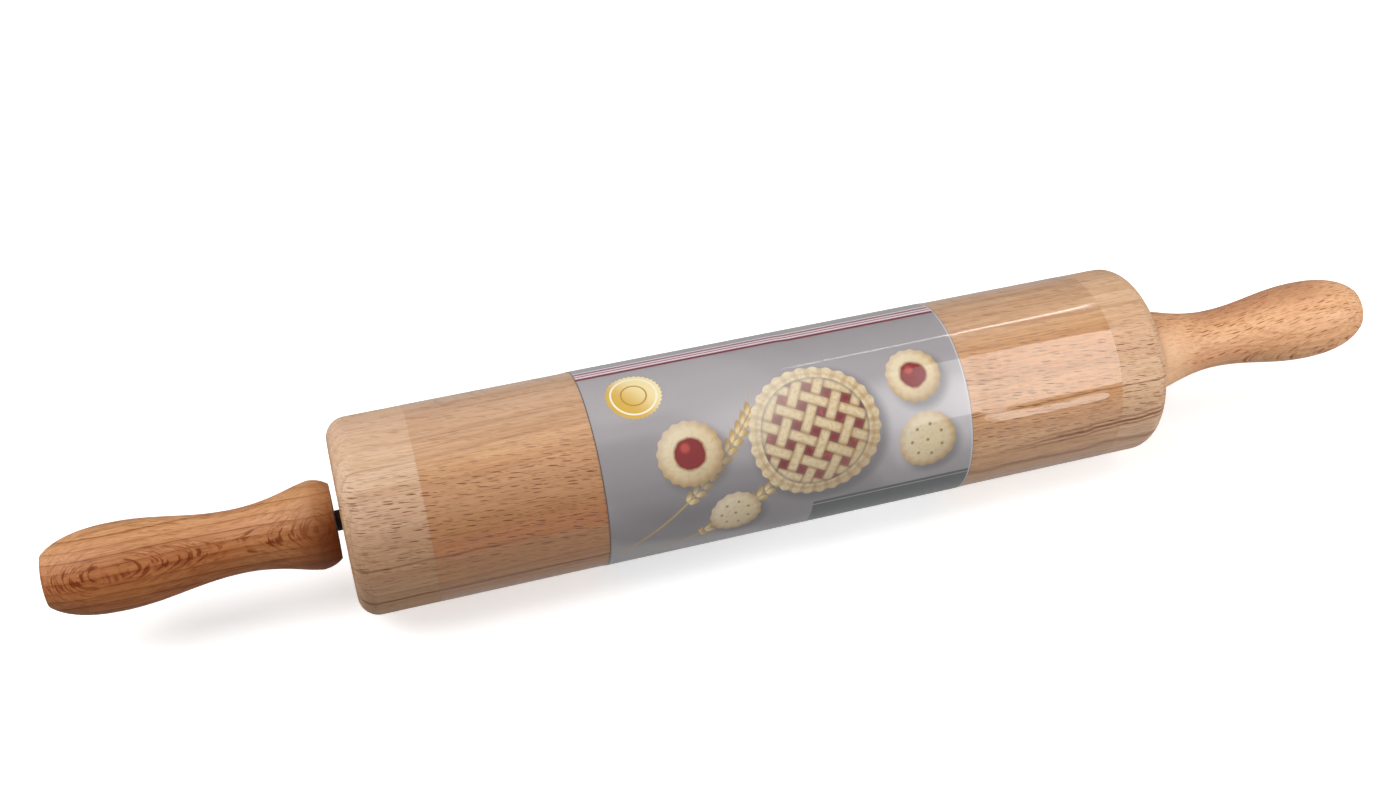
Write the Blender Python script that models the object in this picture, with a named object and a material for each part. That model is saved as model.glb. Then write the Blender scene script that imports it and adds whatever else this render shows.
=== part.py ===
"""Rolling pin of turned beech: a roller that spins on ball bearings round a steel rod.

The pin lies along X with its flat underside on z = 0. A steel rod runs through the roller
and is glued into both handles. A ball bearing sits in each end of the roller, and a dark
spacer sleeve on the rod keeps each handle clear of it. The roller wears a printed paper
sleeve under a clear film. Every turned piece is one outline spun about the X axis.
"""

import math

import bmesh
import bpy
from mathutils import Matrix, Vector

# Roller
ROLLER_LENGTH = 0.260
ROLLER_RADIUS = 0.03025
ROLLER_EDGE_RADIUS = 0.0064
ROLLER_SEGMENTS = 64
EDGE_STEPS = 6
MOUTH_CHAMFER = 0.0005

# Handles, measured outwards from the face beside the roller
HANDLE_LENGTH = 0.083
HANDLE_GAP = 0.002
FACE_RADIUS = 0.0114
BEAD_RADIUS = 0.0135
BEAD_AT = 0.0063
WAIST_RADIUS = 0.0096
WAIST_AT = 0.029
BELLY_RADIUS = 0.01305
BELLY_AT = 0.0627
TIP_RADIUS = 0.0079
BEAD_ROUNDNESS = 2.4
TIP_ROUNDNESS = 2.33
COVE_LEAN = 0.67
HANDLE_SEGMENTS = 40
BEAD_STEPS = 4
COVE_STEPS = 7
SWELL_STEPS = 8
TIP_STEPS = 7

# Steel rod and the spacer sleeves on it
ROD_RADIUS = 0.0025
ROD_IN_HANDLE = 0.050
ROD_CHAMFER = 0.0006
ROD_SEGMENTS = 24
SPACER_WALL = 0.00045

# Ball bearings
BEARING_RADIUS = 0.008
BEARING_WIDTH = 0.005
BEARING_RECESS = 0.001
RACE_CHAMFER = 0.0003
BALL_RADIUS = 0.00159
BALLS_PER_BEARING = 7
SHOULDER_SHARE = 0.45
CAGE_CLEARANCE = 0.00025
CAGE_RIM = 0.0005
BORE_RELIEF = 0.0006
RACE_SEGMENTS = 28
GROOVE_STEPS = 5
CAGE_SEGMENTS = 28
POCKET_SEGMENTS = 14
BALL_SEGMENTS = 10
BALL_RINGS = 7

# Paper sleeve and clear film round the roller
LABEL_WIDTH = 0.116
LABEL_OFFSET = 0.003
LABEL_THICKNESS = 0.0002
FILM_WIDTH = 0.2185
FILM_OFFSET = 0.0028
FILM_THICKNESS = 0.00015
FILM_STEP_LENGTH = 0.0012

# Clearances and the overrun of a cut
SEAT_GAP = 0.0002
RUNNING_GAP = 0.00015
CUT_OVERRUN = 0.001

# Places along the axis, from the middle of the roller
ROLLER_END = ROLLER_LENGTH / 2
HANDLE_FACE = ROLLER_END + HANDLE_GAP
BEARING_MIDDLE = ROLLER_END - BEARING_RECESS - BEARING_WIDTH / 2
SEAT_FLOOR = BEARING_MIDDLE - BEARING_WIDTH / 2 - SEAT_GAP
ROD_END = HANDLE_FACE + ROD_IN_HANDLE

# Radii that follow from the sizes above
SEAT_RADIUS = BEARING_RADIUS + SEAT_GAP
ROD_HOLE_RADIUS = ROD_RADIUS + SEAT_GAP
SPACER_RADIUS = ROD_HOLE_RADIUS + SPACER_WALL
PITCH_RADIUS = (ROD_HOLE_RADIUS + BEARING_RADIUS) / 2
INNER_SHOULDER_RADIUS = PITCH_RADIUS - SHOULDER_SHARE * BALL_RADIUS
OUTER_SHOULDER_RADIUS = PITCH_RADIUS + SHOULDER_SHARE * BALL_RADIUS
GROOVE_RADIUS = BALL_RADIUS + RUNNING_GAP
ROLLER_BORE_RADIUS = INNER_SHOULDER_RADIUS + BORE_RELIEF
FILM_INNER_RADIUS = ROLLER_RADIUS + SEAT_GAP
LABEL_OUTER_RADIUS = ROLLER_RADIUS + SEAT_GAP + LABEL_THICKNESS
FILM_RAISED_RADIUS = LABEL_OUTER_RADIUS + SEAT_GAP
OUTERMOST_RADIUS = FILM_RAISED_RADIUS + FILM_THICKNESS

# The roller rests on the lowest facet of its film
AXIS_HEIGHT = OUTERMOST_RADIUS * math.cos(math.pi / ROLLER_SEGMENTS)

# Colours from the photograph: linear red, green, blue, then roughness and metallic
FINISHES = {
    "beech_roller": ((0.70, 0.47, 0.31), 0.55, 0.0),
    "beech_handle_near": ((0.42, 0.18, 0.07), 0.5, 0.0),
    "beech_handle_far": ((0.72, 0.40, 0.22), 0.5, 0.0),
    "steel_rod": ((0.45, 0.44, 0.43), 0.3, 1.0),
    "bearing_steel": ((0.62, 0.62, 0.63), 0.18, 1.0),
    "cage_steel": ((0.52, 0.50, 0.46), 0.35, 1.0),
    "spacer_black": ((0.02, 0.015, 0.014), 0.4, 0.0),
    "label_paper": ((0.47, 0.47, 0.48), 0.4, 0.0),
    "film_clear": ((0.95, 0.94, 0.92), 0.08, 0.0),
}
FILM_ALPHA = 0.25


def clear_scene():
    """Removes whatever the scene holds before the model is made."""
    for old in list(bpy.data.objects):
        bpy.data.objects.remove(old, do_unlink=True)


def finish(name):
    """The material of a finish, made once."""
    found = bpy.data.materials.get(name)
    if found:
        return found
    colour, roughness, metallic = FINISHES[name]
    material = bpy.data.materials.new(name)
    material.use_nodes = True
    shader = material.node_tree.nodes["Principled BSDF"]
    shader.inputs["Base Color"].default_value = (*colour, 1.0)
    shader.inputs["Roughness"].default_value = roughness
    shader.inputs["Metallic"].default_value = metallic
    if name == "film_clear":
        shader.inputs["Alpha"].default_value = FILM_ALPHA
    return material


def arc(centre, radius, start, end, steps):
    """Points (x, r) of an arc in the outline's plane, both ends included."""
    x, r = centre
    turns = [start + (end - start) * i / steps for i in range(steps + 1)]
    return [(x + radius * math.cos(a), r + radius * math.sin(a)) for a in turns]


def mirrored(outline):
    """An outline's points carried over to the other side of x = 0, in reverse order."""
    return [(-x, r) for x, r in reversed(outline)]


def place(name, data, finish_name, parent, along, turned_round=False):
    """Puts a mesh on the axis as a named piece, at its place along X."""
    piece = bpy.data.objects.new(name, data)
    bpy.context.scene.collection.objects.link(piece)
    piece.parent = parent
    piece.location = (along, 0, 0)
    if turned_round:
        piece.rotation_euler = (0, 0, math.pi)
    if not data.materials:
        data.materials.append(finish(finish_name))
    return piece


def turned(name, outline, segments, closed=True):
    """Mesh of an outline of (x, r) points spun about X, with a flat facet lowest.

    A closed outline makes a ring, and an open one runs from the axis back to the axis.
    """
    start = -math.pi / 2 + math.pi / segments
    across = Vector((0, math.cos(start), math.sin(start)))
    shape = bmesh.new()
    points = [shape.verts.new(Vector((x, 0, 0)) + across * r) for x, r in outline]
    edges = [shape.edges.new(pair) for pair in zip(points, points[1:])]
    if closed:
        edges.append(shape.edges.new((points[-1], points[0])))
    bmesh.ops.spin(
        shape,
        geom=points + edges,
        cent=(0, 0, 0),
        axis=(1, 0, 0),
        angle=2 * math.pi,
        steps=segments,
        use_merge=True,
    )
    bmesh.ops.remove_doubles(shape, verts=shape.verts, dist=SEAT_GAP / 100)
    bmesh.ops.recalc_face_normals(shape, faces=shape.faces)
    data = bpy.data.meshes.new(name)
    shape.to_mesh(data)
    shape.free()
    data.shade_smooth()
    data.set_sharp_from_angle(angle=math.radians(35))
    return data


def roller_mesh():
    """Cylinder with rounded edges, a through bore and a stepped bearing seat at each end."""
    corner = (ROLLER_END - ROLLER_EDGE_RADIUS, ROLLER_RADIUS - ROLLER_EDGE_RADIUS)
    outside = arc(corner, ROLLER_EDGE_RADIUS, math.pi / 2, 0, EDGE_STEPS)
    inside = [
        (ROLLER_END, SEAT_RADIUS + MOUTH_CHAMFER),
        (ROLLER_END - MOUTH_CHAMFER, SEAT_RADIUS),
        (SEAT_FLOOR, SEAT_RADIUS),
        (SEAT_FLOOR, ROLLER_BORE_RADIUS),
    ]
    half = outside + inside
    return turned("roller", half + mirrored(half), ROLLER_SEGMENTS)


def eased(start, end, steps, lean=1.0):
    """Points (x, r) of a half cosine wave from start to end, without the first one.

    A lean below one brings the fall nearer to the start.
    """
    points = []
    for i in range(1, steps + 1):
        share = i / steps
        rise = (1 - math.cos(math.pi * share**lean)) / 2
        x = start[0] + (end[0] - start[0]) * share
        points.append((x, start[1] + (end[1] - start[1]) * rise))
    return points


def handle_outline():
    """Half section of the handle: bead beside the roller, cove, belly and blunt tip."""
    bead = []
    for i in range(BEAD_STEPS + 1):
        share = i / BEAD_STEPS
        fall = (1 - share) ** BEAD_ROUNDNESS
        bead.append((BEAD_AT * share, BEAD_RADIUS - (BEAD_RADIUS - FACE_RADIUS) * fall))
    cove = eased(bead[-1], (WAIST_AT, WAIST_RADIUS), COVE_STEPS, COVE_LEAN)
    swell = eased(cove[-1], (BELLY_AT, BELLY_RADIUS), SWELL_STEPS)
    # The tip is a stretch of a superellipse, cut off flat where its radius is TIP_RADIUS
    cut = (1 - (TIP_RADIUS / BELLY_RADIUS) ** TIP_ROUNDNESS) ** (1 / TIP_ROUNDNESS)
    reach = (HANDLE_LENGTH - BELLY_AT) / cut
    cut_turn = math.asin(cut ** (TIP_ROUNDNESS / 2))
    tip = []
    for i in range(1, TIP_STEPS + 1):
        turn = cut_turn * i / TIP_STEPS
        x = BELLY_AT + reach * math.sin(turn) ** (2 / TIP_ROUNDNESS)
        tip.append((x, BELLY_RADIUS * math.cos(turn) ** (2 / TIP_ROUNDNESS)))
    return bead + cove + swell + tip


def handle_mesh():
    """Turned handle with a blind hole for the rod, its face at x = 0 and its tip at +X."""
    hole_end = ROD_IN_HANDLE + SEAT_GAP
    hole = [(hole_end, 0), (hole_end, ROD_HOLE_RADIUS), (0, ROD_HOLE_RADIUS)]
    outline = hole + handle_outline() + [(HANDLE_LENGTH, 0)]
    return turned("handle", outline, HANDLE_SEGMENTS, closed=False)


def rod_mesh():
    """Round steel rod with chamfered ends."""
    half = [
        (-ROD_END, 0),
        (-ROD_END, ROD_RADIUS - ROD_CHAMFER),
        (-ROD_END + ROD_CHAMFER, ROD_RADIUS),
    ]
    return turned("rod", half + mirrored(half), ROD_SEGMENTS, closed=False)


def spacer_mesh():
    """Thin sleeve that fills the space between a bearing's inner race and the handle."""
    start = -HANDLE_GAP - BEARING_RECESS + SEAT_GAP
    end = -SEAT_GAP
    outline = [
        (start, ROD_HOLE_RADIUS),
        (start, SPACER_RADIUS),
        (end, SPACER_RADIUS),
        (end, ROD_HOLE_RADIUS),
    ]
    return turned("spacer", outline, ROD_SEGMENTS)


def groove(shoulder_radius):
    """Arc of a ball groove from one shoulder to the other, about the pitch circle."""
    side = math.asin((shoulder_radius - PITCH_RADIUS) / GROOVE_RADIUS)
    if side < 0:
        start, end = math.pi - side, 2 * math.pi + side
    else:
        start, end = math.pi - side, side
    return arc((0, PITCH_RADIUS), GROOVE_RADIUS, start, end, GROOVE_STEPS)


def race_mesh(name, shoulder_radius, back_radius):
    """Race ring: a ball groove on one side and a chamfered cylinder on the other."""
    half_width = BEARING_WIDTH / 2
    inward = math.copysign(RACE_CHAMFER, shoulder_radius - back_radius)
    outline = [
        (-half_width, shoulder_radius),
        *groove(shoulder_radius),
        (half_width, shoulder_radius),
        (half_width, back_radius + inward),
        (half_width - RACE_CHAMFER, back_radius),
        (RACE_CHAMFER - half_width, back_radius),
        (-half_width, back_radius + inward),
    ]
    return turned(name, outline, RACE_SEGMENTS)


def cage_piece(name, parent, along):
    """Ring between the races with one round pocket for each ball, cut through radially."""
    inner = INNER_SHOULDER_RADIUS + CAGE_CLEARANCE
    outer = OUTER_SHOULDER_RADIUS - CAGE_CLEARANCE
    pocket_radius = BALL_RADIUS + RUNNING_GAP
    half_width = pocket_radius + CAGE_RIM
    outline = [
        (-half_width, inner),
        (-half_width, outer),
        (half_width, outer),
        (half_width, inner),
    ]
    cage = place(name, turned(name, outline, CAGE_SEGMENTS), "cage_steel", parent, along)
    depth = outer - inner + 2 * CUT_OVERRUN
    pockets = bmesh.new()
    for turn in ball_turns():
        upright = Matrix.Rotation(turn, 4, "X")
        outwards = Matrix.Translation(Vector((0, 0, (inner + outer) / 2)))
        bmesh.ops.create_cone(
            pockets,
            cap_ends=True,
            segments=POCKET_SEGMENTS,
            radius1=pocket_radius,
            radius2=pocket_radius,
            depth=depth,
            matrix=upright @ outwards,
        )
    cutter_mesh = bpy.data.meshes.new(name + "_pockets")
    pockets.to_mesh(cutter_mesh)
    pockets.free()
    cutter = bpy.data.objects.new(name + "_pockets", cutter_mesh)
    bpy.context.scene.collection.objects.link(cutter)
    cutter.parent = parent
    cutter.location = (along, 0, 0)
    cutter.hide_render = True
    cutter.display_type = "WIRE"
    cut = cage.modifiers.new("pockets", "BOOLEAN")
    cut.operation = "DIFFERENCE"
    cut.solver = "EXACT"
    cut.object = cutter
    return cage


def ball_turns():
    """Angles of the balls about the axis, with the first one at the top."""
    return [2 * math.pi * i / BALLS_PER_BEARING for i in range(BALLS_PER_BEARING)]


def ball_mesh():
    """Bearing ball."""
    shape = bmesh.new()
    bmesh.ops.create_uvsphere(
        shape, u_segments=BALL_SEGMENTS, v_segments=BALL_RINGS, radius=BALL_RADIUS
    )
    data = bpy.data.meshes.new("ball")
    shape.to_mesh(data)
    shape.free()
    data.shade_smooth()
    return data


def label_mesh():
    """Paper sleeve round the roller."""
    half = LABEL_WIDTH / 2
    inner = ROLLER_RADIUS + SEAT_GAP
    outline = [
        (-half, inner),
        (-half, LABEL_OUTER_RADIUS),
        (half, LABEL_OUTER_RADIUS),
        (half, inner),
    ]
    return turned("label", outline, ROLLER_SEGMENTS)


def film_mesh():
    """Shrunk film: close round the wood, and raised where it passes over the paper."""
    left = FILM_OFFSET - FILM_WIDTH / 2
    right = FILM_OFFSET + FILM_WIDTH / 2
    step_left = LABEL_OFFSET - LABEL_WIDTH / 2 - SEAT_GAP
    step_right = LABEL_OFFSET + LABEL_WIDTH / 2 + SEAT_GAP
    inner = [
        (left, FILM_INNER_RADIUS),
        (step_left - FILM_STEP_LENGTH, FILM_INNER_RADIUS),
        (step_left, FILM_RAISED_RADIUS),
        (step_right, FILM_RAISED_RADIUS),
        (step_right + FILM_STEP_LENGTH, FILM_INNER_RADIUS),
        (right, FILM_INNER_RADIUS),
    ]
    outer = [(x, r + FILM_THICKNESS) for x, r in reversed(inner)]
    return turned("film", inner + outer, ROLLER_SEGMENTS)


def pivot(name, parent, along):
    """Empty on the pin's axis that carries the pieces which turn together."""
    empty = bpy.data.objects.new(name, None)
    bpy.context.scene.collection.objects.link(empty)
    empty.parent = parent
    empty.location = (along, 0, 0)
    return empty


def main():
    clear_scene()
    roller_pivot = pivot("roller_pivot", None, 0)
    roller_pivot.location = (0, 0, AXIS_HEIGHT)
    axle_pivot = pivot("axle_pivot", roller_pivot, 0)

    place("roller", roller_mesh(), "beech_roller", roller_pivot, 0)
    place("label_sleeve", label_mesh(), "label_paper", roller_pivot, LABEL_OFFSET)
    place("clear_film", film_mesh(), "film_clear", roller_pivot, 0)
    place("axle_rod", rod_mesh(), "steel_rod", axle_pivot, 0)

    spacer = spacer_mesh()
    ball = ball_mesh()
    inner_race = race_mesh("inner_race", INNER_SHOULDER_RADIUS, ROD_HOLE_RADIUS)
    outer_race = race_mesh("outer_race", OUTER_SHOULDER_RADIUS, BEARING_RADIUS)
    for side, sign, wood in (
        ("left", -1, "beech_handle_near"),
        ("right", 1, "beech_handle_far"),
    ):
        turned_round = sign < 0
        face = sign * HANDLE_FACE
        middle = sign * BEARING_MIDDLE
        place(f"handle_{side}", handle_mesh(), wood, axle_pivot, face, turned_round)
        place(f"spacer_{side}", spacer, "spacer_black", axle_pivot, face, turned_round)
        place(f"bearing_inner_race_{side}", inner_race, "bearing_steel", axle_pivot, middle)
        place(f"bearing_outer_race_{side}", outer_race, "bearing_steel", roller_pivot, middle)
        cage_pivot = pivot(f"cage_pivot_{side}", roller_pivot, middle)
        cage_piece(f"ball_cage_{side}", cage_pivot, 0)
        for number, turn in enumerate(ball_turns(), start=1):
            piece = place(f"ball_{side}_{number}", ball, "bearing_steel", cage_pivot, 0)
            outwards = Matrix.Rotation(turn, 3, "X") @ Vector((0, 0, PITCH_RADIUS))
            piece.location = outwards
            piece.rotation_euler = (turn, 0, 0)


main()
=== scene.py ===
import math

import bpy
import numpy as np
from mathutils import Matrix, Vector


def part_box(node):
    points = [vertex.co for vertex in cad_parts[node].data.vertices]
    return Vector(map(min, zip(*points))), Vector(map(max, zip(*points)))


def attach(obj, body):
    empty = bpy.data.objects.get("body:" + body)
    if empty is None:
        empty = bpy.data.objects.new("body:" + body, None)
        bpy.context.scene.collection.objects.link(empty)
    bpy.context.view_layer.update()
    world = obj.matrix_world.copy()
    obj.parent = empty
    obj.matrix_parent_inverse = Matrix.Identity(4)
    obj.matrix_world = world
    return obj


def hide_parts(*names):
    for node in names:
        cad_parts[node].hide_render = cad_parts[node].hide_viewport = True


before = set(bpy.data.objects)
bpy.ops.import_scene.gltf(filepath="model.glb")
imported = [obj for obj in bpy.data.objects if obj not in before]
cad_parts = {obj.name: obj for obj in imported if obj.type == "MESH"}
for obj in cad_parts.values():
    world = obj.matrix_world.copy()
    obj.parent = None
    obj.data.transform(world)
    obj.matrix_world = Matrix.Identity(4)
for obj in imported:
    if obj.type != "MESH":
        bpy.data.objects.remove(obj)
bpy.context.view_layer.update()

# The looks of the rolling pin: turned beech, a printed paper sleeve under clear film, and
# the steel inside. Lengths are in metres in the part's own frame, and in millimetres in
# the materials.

MM = 1000.0
AXIS = (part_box("roller")[0].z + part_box("roller")[1].z) / 2

# How finely the pieces are cut
TURNS = 256
FILM_TURNS = 540
SMALL_TURNS = 96
EDGE_STEPS = 14
HANDLE_STEPS = 8
GROOVE_STEPS = 16
FILM_STATIONS = (25, 9, 20, 9, 31)
PAPER_TURNS = 420
PAPER_STATIONS = 48
BALL_RINGS = 25
BALL_TURNS = 40
BALL_POLE = 0.02
SHARP_EDGE = math.radians(32)

# Edges, and the radius of a bearing's groove as a share of its ball's
ROLLER_EDGE = 0.0063
MOUTH_CHAMFER = 0.0005
RACE_CHAMFER = 0.0003
ROD_CHAMFER = 0.0006
SPACER_CHAMFER = 0.0001
GROOVE_ROOM = 1.12

# Paper sleeve and film
PAPER = 0.00014
PAPER_GAP = 0.00004
OVERLAP_TURN = math.radians(21)
OVERLAP_FROM = math.radians(196)
FILM = 0.00006
FILM_GAP = 0.00005
FILM_STEP = 0.003
LAP_PAST_PAPER = math.radians(0.5)
LAP_DROP = math.radians(3)

# The film's weld, its loose fold and the ripples at its ends. Sway is how far, in
# radians, a line wanders round the film, and waves how fast along it
WELD_TURN = math.radians(212)
WELD_HEIGHT = 0.00015
WELD_HALF_WIDTH = 0.0005
WELD_SWAY = 0.012
WELD_WAVES = 55
FOLD_TURN = math.radians(69)
FOLD_HEIGHT = 0.00050
FOLD_HALF_WIDTH = 0.0024
FOLD_LEAN = math.radians(60)
FOLD_MIDDLE = 0.085
FOLD_START = (0.060, 0.070)
FOLD_END = (0.1125, 0.1055)
FOLD_SWAY = 0.02
FOLD_WAVES = 90
FOLD_PHASE = 0.6
RIPPLE = 0.00004
RIPPLE_REACH = 0.007
RIPPLES_ROUND = 23

# Width of the photo in pixels, and its pinhole camera
PHOTO_WIDTH = 1400
FOCAL_PIXELS = 1631.6
SENSOR = 36.0
CAMERA_FROM_AXIS = Vector((-0.12386, -0.35271, 0.35633))
CAMERA_RIGHT = Vector((0.95791, -0.28707, 0.0))
CAMERA_FORWARD = Vector((0.21205, 0.70758, -0.67406))

# Radiance of the surroundings above, just below the horizon and far below it, and the
# heights between which each gives way to the next
WORLD_ABOVE = 0.22
WORLD_BELOW = 0.46
WORLD_UNDER = 0.36
HORIZON = (-0.1, 0.1)
FAR_BELOW = (-0.35, -0.9)

# The panel that the film mirrors: its distance from the axis, its stations, its turns in
# degrees from the top towards the front, and its fading edges
REFLECTOR_AWAY = 0.62
REFLECTOR_ALONG = (0.20, 0.47)
REFLECTOR_TURNS = (7.3, 74.0)
REFLECTOR_FADE = 0.14
REFLECTOR_EDGE = 0.01
REFLECTOR_GLOW = 2.7
REFLECTOR_CUTS = 24

# Floor, and the cove's inner radius, bend and height
FLOOR_HALF = 4
FLOOR_GLOW = 0.5
COVE = (3.0, 0.8, 5.0)
COVE_STEPS = 12
COVE_TURNS = 96
COVE_ABOVE_FLOOR = 0.0005

# Lights: place and aim from the pin's middle, size, radiance and the way of a side
ALONG_TUBE = (0.238, 0.008, -0.062)
LEFT_BOX = ((-0.75, 0.05, 1.10 - AXIS), (0, 0, 0), (1.2, 1.0), 4.5, (1, 0, 0))
RIGHT_BOX = ((0.57, -0.362, 0.192), (0.08, 0, 0), (0.3, 0.3), 6.6, (1, 0, 0))
THIN_TUBE = ((0.343, 0.348, 0.693), (0.06, 0, 0), (0.25, 0.016), 4.0, ALONG_TUBE)
WIDE_TUBE = ((0.40964, 0.35024, 0.67564), (0.06, 0, 0), (0.115, 0.046), 2.5, ALONG_TUBE)


# Measures taken from the frame


def rings(node):
    """Stations and radii of a CAD node's rings about the axis, as two arrays."""
    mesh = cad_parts[node].data
    points = np.empty(len(mesh.vertices) * 3)
    mesh.vertices.foreach_get("co", points)
    points = points.reshape(-1, 3)
    radii = np.hypot(points[:, 1], points[:, 2] - AXIS)
    pairs = np.unique(np.round(np.column_stack([points[:, 0], radii]), 6), axis=0)
    return pairs[:, 0], pairs[:, 1]


def ends(node):
    """Lowest and highest station of a CAD node along the pin."""
    low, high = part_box(node)
    return low.x, high.x


# Surfaces


def arc(x, r, radius, start, end, steps):
    """Arc in the outline's plane: the centre (x, r) plus radius times (cos, sin)."""
    turn = np.linspace(start, end, steps + 1)
    return np.column_stack([x + radius * np.cos(turn), r + radius * np.sin(turn)])


def mesh_object(name, points, faces):
    """Object at the origin with a mesh of these points (an array) and faces (a list)."""
    mesh = bpy.data.meshes.new(name)
    mesh.from_pydata(points.reshape(-1, 3).tolist(), [], faces)
    mesh.update()
    piece = bpy.data.objects.new(name, mesh)
    bpy.context.scene.collection.objects.link(piece)
    return piece


def sheet(name, grid):
    """Open mesh over a grid of points: (row, column, xyz)."""
    rows, columns = grid.shape[:2]
    index = np.arange(rows * columns).reshape(rows, columns)
    here, onward = index[:-1], index[1:]
    quads = np.stack([here[:, :-1], onward[:, :-1], onward[:, 1:], here[:, 1:]], -1)
    return mesh_object(name, grid, quads.reshape(-1, 4).tolist())


def skin(name, grid, closed):
    """Closed mesh over a grid of points: (path step, loop step, xyz), its loops closed.

    Point (i, j) joins (i, j + 1) and (i + 1, j). The path closes on itself, or a flat
    cap shuts each of its ends.
    """
    steps, loop = grid.shape[:2]
    index = np.arange(steps * loop).reshape(steps, loop)
    onward = np.roll(index, -1, axis=0) if closed else index[1:]
    here = index if closed else index[:-1]
    quads = np.stack([here, np.roll(here, -1, 1), np.roll(onward, -1, 1), onward], -1)
    faces = quads.reshape(-1, 4).tolist()
    if not closed:
        faces += [index[0][::-1].tolist(), index[-1].tolist()]
    piece = mesh_object(name, grid, faces)
    piece.data.shade_smooth()
    piece.data.set_sharp_from_angle(angle=SHARP_EDGE)
    return piece


def round_axis(x, r, a):
    """Points (x, -r sin a, AXIS + r cos a): a is 0 at the top and grows forwards."""
    x, r, a = np.broadcast_arrays(x, r, a)
    return np.stack([x, -r * np.sin(a), AXIS + r * np.cos(a)], -1)


def turned(name, outline, closed, turns=TURNS, swell=lambda x, a: 0.0):
    """Outline of (x, r) points carried round the axis, drawn towards +X on its outside.

    Point (i, j) is the outline's point i turned by 2 pi j / turns. Swell is added to r.
    """
    outline = np.asarray(outline, float)
    x = outline[:, :1]
    a = np.linspace(0, 2 * np.pi, turns, endpoint=False)[None, :]
    return skin(name, round_axis(x, outline[:, 1:] + swell(x, a), a), closed)


def spline(points, between):
    """Smooth curve through points: cubic arcs whose ends lean along their neighbours."""
    before = np.vstack([2 * points[0] - points[1], points[:-2]])
    start, end = points[:-1], points[1:]
    after = np.vstack([points[2:], 2 * points[-1] - points[-2]])
    t = np.linspace(0, 1, between, endpoint=False)[None, :, None]
    a, b, c, d = (p[:, None, :] for p in (before, start, end, after))
    curve = 0.5 * (
        2 * b
        + (c - a) * t
        + (2 * a - 5 * b + 4 * c - d) * t**2
        + (3 * b - a - 3 * c + d) * t**3
    )
    return np.vstack([curve.reshape(-1, 2), points[-1:]])


def roller():
    """Straight cylinder with quarter-round edges, a through bore and bearing seats.

    It is the same at both ends, so the left seat mirrors the right one.
    """
    left, right = ends("roller")
    x, r = rings("roller")
    radius, bore = r.max(), r.min()
    seat = r[(x == x.max()) & (r < radius / 2)].min() - MOUTH_CHAMFER
    floor = x[(r == bore) & (x > 0)].max()
    edge = ROLLER_EDGE
    corner = radius - edge
    outside = [
        arc(left + edge, corner, edge, math.pi, math.pi / 2, EDGE_STEPS),
        arc(right - edge, corner, edge, math.pi / 2, 0, EDGE_STEPS),
    ]
    mouth = [(right, seat + MOUTH_CHAMFER), (right - MOUTH_CHAMFER, seat)]
    inside = [*mouth, (floor, seat), (floor, bore)]
    mirrored = [(-station, height) for station, height in reversed(inside)]
    return turned("roller_wood", np.vstack([*outside, inside, mirrored]), True)


def handle(side):
    """Turned handle: a spline through the frame's rings, a blind hole and a flat tip."""
    x, r = rings(f"handle_{side}")
    hole = np.unique(r[r > 0])[0]
    solid = r > 1.5 * hole
    outer = np.column_stack([x[solid], r[solid]])
    outer = outer[np.argsort(outer[:, 0])]
    depth = x[r == hole]
    curve = spline(outer, HANDLE_STEPS)
    if side == "right":
        face, deep = x.min(), depth.max()
        outline = np.vstack([[(deep, hole), (face, hole)], curve])
    else:
        face, deep = x.max(), depth.min()
        outline = np.vstack([curve, [(face, hole), (deep, hole)]])
    return turned(f"handle_{side}_wood", outline, False)


def ease(value, low, high):
    """Smooth step from 0 at low to 1 at high, or the other way round."""
    share = np.clip((value - low) / (high - low), 0, 1)
    return share**2 * (3 - 2 * share)


def over_paper(x):
    """1 over the paper sleeve, easing to 0 a few millimetres beyond its edges."""
    left, right = ends("label_sleeve")
    return ease(x, left - FILM_STEP, left) * ease(x, right + FILM_STEP, right)


def ridge(a, path, radius, height, half_width):
    """Bell-shaped ridge: height times e to minus the square of a share.

    The share is the distance round the film from the ridge's path, over its half-width.
    """
    return height * np.exp(-(((a - path) * radius / half_width) ** 2))


def film_swell(x, a):
    """Unevenness of the film, added to its radius.

    It stands higher where the paper overlaps itself. The weld is a low ridge behind, the
    loose fold a wider one in front, and ripples run round the shrunk ends.
    """
    left, right = ends("clear_film")
    radius = rings("clear_film")[1].max()
    end = OVERLAP_FROM + LAP_PAST_PAPER
    climb = ease(a, OVERLAP_FROM - 2 * OVERLAP_TURN, OVERLAP_FROM - OVERLAP_TURN)
    lap = (PAPER + FILM) * climb * ease(a, end + LAP_DROP, end) * over_paper(x)
    weld_path = WELD_TURN + WELD_SWAY * np.sin(x * WELD_WAVES)
    weld = ridge(a, weld_path, radius, WELD_HEIGHT, WELD_HALF_WIDTH)
    fold_path = FOLD_TURN + FOLD_LEAN * (x - FOLD_MIDDLE)
    fold_path = fold_path + FOLD_SWAY * np.sin(x * FOLD_WAVES + FOLD_PHASE)
    fold = ridge(a, fold_path, radius, FOLD_HEIGHT, FOLD_HALF_WIDTH)
    fold = fold * ease(x, *FOLD_START) * ease(x, *FOLD_END)
    near = np.exp(-(x - left) / RIPPLE_REACH) + np.exp(-(right - x) / RIPPLE_REACH)
    ripple = RIPPLE * near * np.sin(RIPPLES_ROUND * a + 3 * np.sin(2 * a))
    return lap + weld + fold + ripple


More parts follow.
